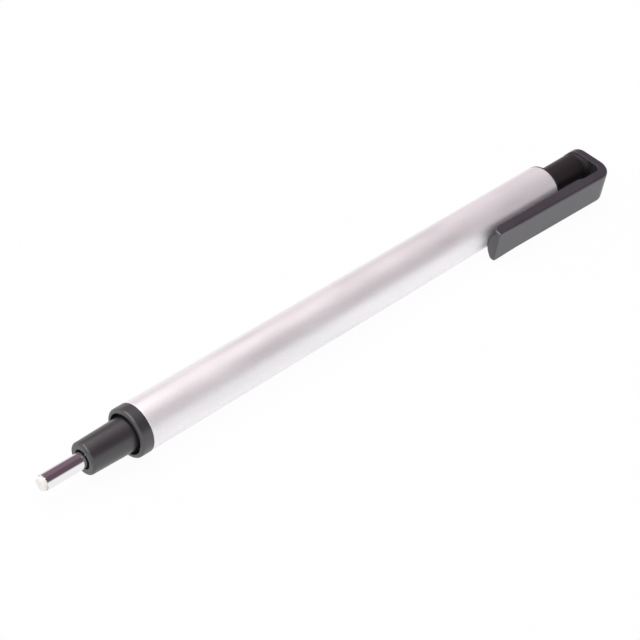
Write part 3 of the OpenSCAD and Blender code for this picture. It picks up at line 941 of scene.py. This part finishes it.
def front_rows(work, first):
    """Rows of points that fill the front face inside the first loop, from top to bottom."""
    s, half = outline[0][:2]
    levels = edge_levels(outline[0])
    columns, last = len(COLUMNS), len(levels) - 1
    full = levels[-1][0] - FRONT_ROUND
    right = first[columns - 1:columns + last]
    left = first[:1] + first[-last:][::-1]
    rows = [first[:columns]]
    for k in range(1, last):
        level, inset = levels[k]
        row = [left[k]]
        for column in COLUMNS[1:-1]:
            side, depth = column_side(column, half), level
            deepest = inner_depth(s, side, column)
            if level > FRONT_ROUND:
                depth = FRONT_ROUND + (level - FRONT_ROUND) * (deepest - FRONT_ROUND) / full
            x, out = bent(s + inset, depth)
            row.append(work.verts.new(pen_point(x, out, side)))
        rows.append(row + [right[k]])
    rows.append(left[-1:] + first[columns + last:-last][::-1] + right[-1:])
    return rows


def build_strip(work):
    """Adds the bent strip to a bmesh: loops joined by quads, and the front face filled."""
    loops = []
    for line in outline:
        places = [(*bent(s, depth), side) for s, side, depth in strip_loop(line)]
        loops.append([work.verts.new(pen_point(*place)) for place in places])
    join_rings(work, loops)
    rows = front_rows(work, loops[0])
    for upper, lower in zip(rows, rows[1:]):
        for j in range(len(upper) - 1):
            work.faces.new((upper[j], upper[j + 1], lower[j + 1], lower[j]))


# %% [markdown]
# ## Neck of the cap
# The neck is a turned plug with a snap barb in front, and its skin is smoother than the clip's.
# Its colour is darker than the clip's, though both are one moulding: painted shade of the
# hollow between the end wall and the barrel. A key along it keeps the cap from turning, and a
# fillet joins it to the end wall. The fillet fades out where the wall ends, so it is built as a
# ring whose reach changes with the direction. Its skin is duller, as a tight corner of a mould
# leaves it, and its colour is darker than the clip's too: painted shade of that corner.

# %% Neck
NECK_R, NECK_SUNK, SOCKET_R, SOCKET_LEN = 2.9, 0.3, 2.21, 12.05
BARB_LEN, BARB_RISE, BARB_GAP = 2.0, 0.25, 0.05
neck_front = station(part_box("rear_bush")[0].x) - BARB_GAP - BARB_LEN
barb_back, socket_end = neck_front + BARB_LEN, neck_front + SOCKET_LEN
wall_face = cap_end - WALL
neck_end = wall_face + NECK_SUNK
neck = turned(
    "neck",
    [
        (neck_front, SOCKET_R, 0.05), (neck_front, NECK_R, 0.05),
        (barb_back, NECK_R + BARB_RISE, 0.05), (barb_back, NECK_R, 0), (neck_end, NECK_R, 0),
        (neck_end, 0, 0), (socket_end, 0, 0), (socket_end, SOCKET_R, 0.05),
    ],
    neck_painted_shade_plastic, segments=112, longest=1.5,
)

# %% Fillet
FILLET_R, FILLET_STEPS, AROUND = 1.2, 8, 120
SUNK, UNDER_SKIN, EDGE_GAP = 0.2, 0.1, 0.02
fillet_full = NECK_R + FILLET_R


def fillet_reach(angle):
    """How far from the axis the fillet may go in a direction; angle 0 points to the clip."""
    edge = ROOT_HALF if math.cos(angle) < 0 else ROOT_HALF / max(1e-6, abs(math.sin(angle)))
    return min(fillet_full, edge)


def fillet_section(reach):
    """Closed section (radius, height above the end wall) of a fillet cut off at a reach."""
    start = math.asin((fillet_full - reach) / FILLET_R)
    lift = FILLET_R - math.sqrt(FILLET_R ** 2 - (fillet_full - reach) ** 2)
    soft = min(0.12, lift)
    inner, outer = NECK_R - UNDER_SKIN, reach - EDGE_GAP
    path = [(inner, -SUNK), (outer, -SUNK), (outer, lift - soft), (reach - 0.05, lift - 0.3 * soft)]
    for k in range(FILLET_STEPS + 1):
        swing = start + (math.pi / 2 - start) * (k + 0.6) / (FILLET_STEPS + 0.6)
        path.append((fillet_full - FILLET_R * math.sin(swing), FILLET_R * (1 - math.cos(swing))))
    return path + [(inner, FILLET_R)]


def build_fillet(work):
    """Adds the fillet between neck and end wall to a bmesh."""
    rings = []
    for i in range(AROUND):
        angle = 2 * math.pi * i / AROUND
        places = [
            (wall_face - h, r * math.cos(angle), r * math.sin(angle))
            for r, h in fillet_section(fillet_reach(angle))
        ]
        rings.append([work.verts.new(pen_point(*place)) for place in places])
    join_rings(work, rings + rings[:1])


# %% Key
KEY_HALF, KEY_RISE, KEY_BEVEL, KEY_FOOT = 0.4, 0.4, 0.08, 2.0


def build_key(work):
    """Adds the key, a long bar with bevelled edges, to a bmesh."""
    top, inner = -(NECK_R + KEY_RISE), KEY_HALF - KEY_BEVEL
    section = [
        (-KEY_HALF, -KEY_FOOT), (KEY_HALF, -KEY_FOOT), (KEY_HALF, top + KEY_BEVEL),
        (inner, top), (-inner, top), (-KEY_HALF, top + KEY_BEVEL),
    ]
    ends = []
    for x in (barb_back, barrel_end):
        ends.append([work.verts.new(pen_point(x, out, side)) for side, out in section])
    join_rings(work, ends)
    work.faces.new(ends[0])
    work.faces.new(ends[1][::-1])


# %% Put the cap together
def shell(name, build, material):
    """A piece from one building function that fills a bmesh."""
    work = bmesh.new()
    build(work)
    mesh = bpy.data.meshes.new(name)
    work.to_mesh(mesh)
    work.free()
    mesh.materials.append(material)
    return finish_mesh(add_object(name, mesh))


strip = shell("clip_strip", build_strip, cap_plastic)
fillet = shell("neck_fillet", build_fillet, corner_painted_shade_plastic)
key = shell("neck_key", build_key, neck_painted_shade_plastic)

# %% [markdown]
# ## Pieces and bodies
# Every new piece says which solid it stands for, which body it rides on and which finish of
# the record it wears. Clip, fillet, key and neck together stand for the cap. The spring gets a
# mesh of its own. The solids that stay are the ones hidden inside the pen, and they get their
# finishes too.

# %% Tie the pieces to the frame
REPLACED = [
    (barrel, "barrel", "barrel", "satin_aluminium"),
    (collar, "front_collar", "barrel", "black_collar_plastic"),
    (nose, "nose_cone", "barrel", "black_nose_plastic"),
    (tube, "guide_tube", "barrel", "polished_tube"),
    (stick, "eraser_stick", "eraser", "eraser_compound"),
    (spring, "return_spring", "barrel", "spring_steel"),
]
REPLACED += [(part, "clip_cap", "push_cap", "black_cap_plastic") for part in (strip, fillet, key, neck)]
for piece, node, body, finish in REPLACED:
    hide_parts(node)
    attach(piece, body)
print("new pieces:", len(REPLACED))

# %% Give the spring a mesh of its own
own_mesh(spring)

# %% Finish the hidden solids
KEPT = {
    "tube_bush": inner_plastic, "retainer_ring": retainer_rubber, "chuck_sleeve": sleeve_plastic,
    "rear_bush": inner_plastic, "clutch_ring": turned_brass, "chuck": turned_brass,
    "chuck_adapter": white_plastic, "magazine_tube": magazine_plastic,
}
for node, material in KEPT.items():
    for slot in frame["nodes"][node].material_slots:
        slot.material = material
print("kept solids:", len(KEPT))

# %% [markdown]
# ## Desk
# The pen lies on a wide, plain white desk. Rays from the camera, and those that glossy or
# clear things send out, find it almost fully white, and a small share of the real diffuse
# surface keeps the soft shadow under the pen.

# %% Helpers for a white ground and sky
def plain_white(tree, kind):
    """A shader that sends out plain white."""
    node = tree.nodes.new(kind)
    node.inputs["Color"].default_value = (1, 1, 1, 1)
    node.inputs["Strength"].default_value = 1.0
    return node


def mix_shaders(tree, share, first, second, output):
    """Ends a tree with two shaders: the first where share is 0, the second where it is 1."""
    mix = tree.nodes.new("ShaderNodeMixShader")
    tree.links.new(share, mix.inputs[0])
    tree.links.new(first.outputs[0], mix.inputs[1])
    tree.links.new(second.outputs[0], mix.inputs[2])
    tree.links.new(mix.outputs[0], tree.nodes[output].inputs["Surface"])


# %% Material of the desk
DESK_GLOW = 0.96
desk_material, desk_tree, desk_shader = start_material(
    "white_desk", Base_Color=(0.86, 0.86, 0.87, 1), Roughness=0.9, Specular_IOR_Level=0.0)
paths = desk_tree.nodes.new("ShaderNodeLightPath").outputs
seen = add_math(desk_tree, "MAXIMUM", paths["Is Camera Ray"], paths["Is Glossy Ray"])
seen = add_math(desk_tree, "MAXIMUM", seen, paths["Is Transmission Ray"])
share = add_math(desk_tree, "MULTIPLY", seen, DESK_GLOW)
glow = plain_white(desk_tree, "ShaderNodeEmission")
mix_shaders(desk_tree, share, desk_shader, glow, "Material Output")

# %% Desk
HALF_DESK, DESK_GAP = 3.0, 0.00002
corners = [(x * HALF_DESK, y * HALF_DESK, 0) for x, y in ((-1, -1), (1, -1), (1, 1), (-1, 1))]
desk_mesh = bpy.data.meshes.new("desk")
desk_mesh.from_pydata(corners, [], [(0, 1, 2, 3)])
desk_mesh.materials.append(desk_material)
desk = add_object("desk", desk_mesh)
desk.location.z = cad_low.z - DESK_GAP
desk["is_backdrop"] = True
print("desk at z in mm:", round(desk.location.z / MM, 3))

# %% [markdown]
# ## Camera
# The camera stands about 27 cm from the pen and looks down along it from the nose side. Its
# place and its heading are given in the pen's own directions, so it follows the pen.

# %% Camera
STANDS_AT = (-116.124, 124.78, 184.63)
LOOKS, RIGHTWARDS = (0.57158, -0.45884, -0.68026), (0.70555, 0.69808, 0.12197)


def pen_direction(along, out, side):
    """A direction of the frame from shares along the barrel, to the clip and sideways."""
    return along * Vector((1, 0, 0)) + out * outwards + side * sideways


camera_data = bpy.data.cameras.new("camera")
camera_data.lens, camera_data.sensor_width = 92.92, 36.0
camera_data.clip_start, camera_data.clip_end = 0.01, 20
camera = add_object("camera", camera_data)
heading = pen_direction(*LOOKS).normalized()
right = pen_direction(*RIGHTWARDS)
right = (right - heading * right.dot(heading)).normalized()
up = right.cross(heading)
turn = Matrix((right, up, -heading)).transposed().to_4x4()
camera.matrix_world = Matrix.Translation(pen_point(*STANDS_AT)) @ turn
bpy.context.scene.camera = camera
print("camera at", [round(v, 4) for v in camera.location])

# %% [markdown]
# ## Light
# A pale room lights the pen from everywhere. A long soft lamp, 1.8 m above the desk, lies
# across the pen and gives the shadow its direction. Metal shows what stands around it, so
# the room has a broad darker patch overhead, with a darker core. The patch draws the quiet
# darker stripes along barrel and tube, and keeps the black plastic black.


# %% Room
PATCH_AT, PATCH_COLOUR = Vector((0.57, 0.057, 0.818)), (0.22, 0.14, 0.18)
CORE_AT, CORE_COLOUR = Vector((0.57, -0.53, 0.625)), (0.12, 0.085, 0.105)
ROOM_STRENGTH = 1.06


def shade_towards(tree, direction, start, full):
    """Mask of the room: 0 far from a direction, 1 close to it, by the cosines between."""
    facing = tree.nodes.new("ShaderNodeVectorMath")
    facing.operation = "DOT_PRODUCT"
    where = tree.nodes.new("ShaderNodeTexCoord").outputs["Generated"]
    tree.links.new(where, facing.inputs[0])
    facing.inputs[1].default_value = direction.normalized()
    return add_range(tree, facing.outputs["Value"], start, full)


def make_room():
    """World: plain white for the background, and a graded room for light and reflections."""
    world = bpy.data.worlds.new("pale_room")
    world.use_nodes = True
    tree = world.node_tree
    patch = shade_towards(tree, PATCH_AT, 0.24, 0.70)
    core = shade_towards(tree, CORE_AT, 0.78, 0.93)
    colour = mix_colours(tree, patch, (1.0, 1.0, 1.0), PATCH_COLOUR)
    colour = mix_colours(tree, core, colour, CORE_COLOUR)
    background = tree.nodes["Background"]
    tree.links.new(colour, background.inputs["Color"])
    background.inputs["Strength"].default_value = ROOM_STRENGTH
    white = plain_white(tree, "ShaderNodeBackground")
    seen = tree.nodes.new("ShaderNodeLightPath").outputs["Is Camera Ray"]
    mix_shaders(tree, seen, background, white, "World Output")
    return world


bpy.context.scene.world = make_room()

# %% Lamp
lamp_data = bpy.data.lights.new("top_lamp", "AREA")
lamp_data.shape = "RECTANGLE"
lamp_data.size, lamp_data.size_y = 0.36, 2.2
lamp_data.energy, lamp_data.color = 24.0, (1.0, 0.985, 0.95)
lamp = add_object("top_lamp", lamp_data)
lamp.location = (0.04, 0.22, 1.79)
lamp.rotation_mode = "QUATERNION"
lamp.rotation_quaternion = (Vector((-0.02, 0, 0)) - lamp.location).to_track_quat("-Z", "Y")
bpy.context.scene.view_settings.view_transform = "Standard"
print("lamp height in m:", round(lamp.location.z, 2))

# %% [markdown]
# ## Check and finish
# The box of the dressed pen is compared with the box of the solids, and the script prints
# how far the new pieces stand out of it. The dressed pen may not be bigger than the
# solids.

# %% Compare the sizes
seen_low, seen_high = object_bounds()
grown = max(max(cad_low[k] - seen_low[k], seen_high[k] - cad_high[k]) for k in range(3))
print("new pieces stand out of the solids' box by mm:", round(grown * 1000, 4))
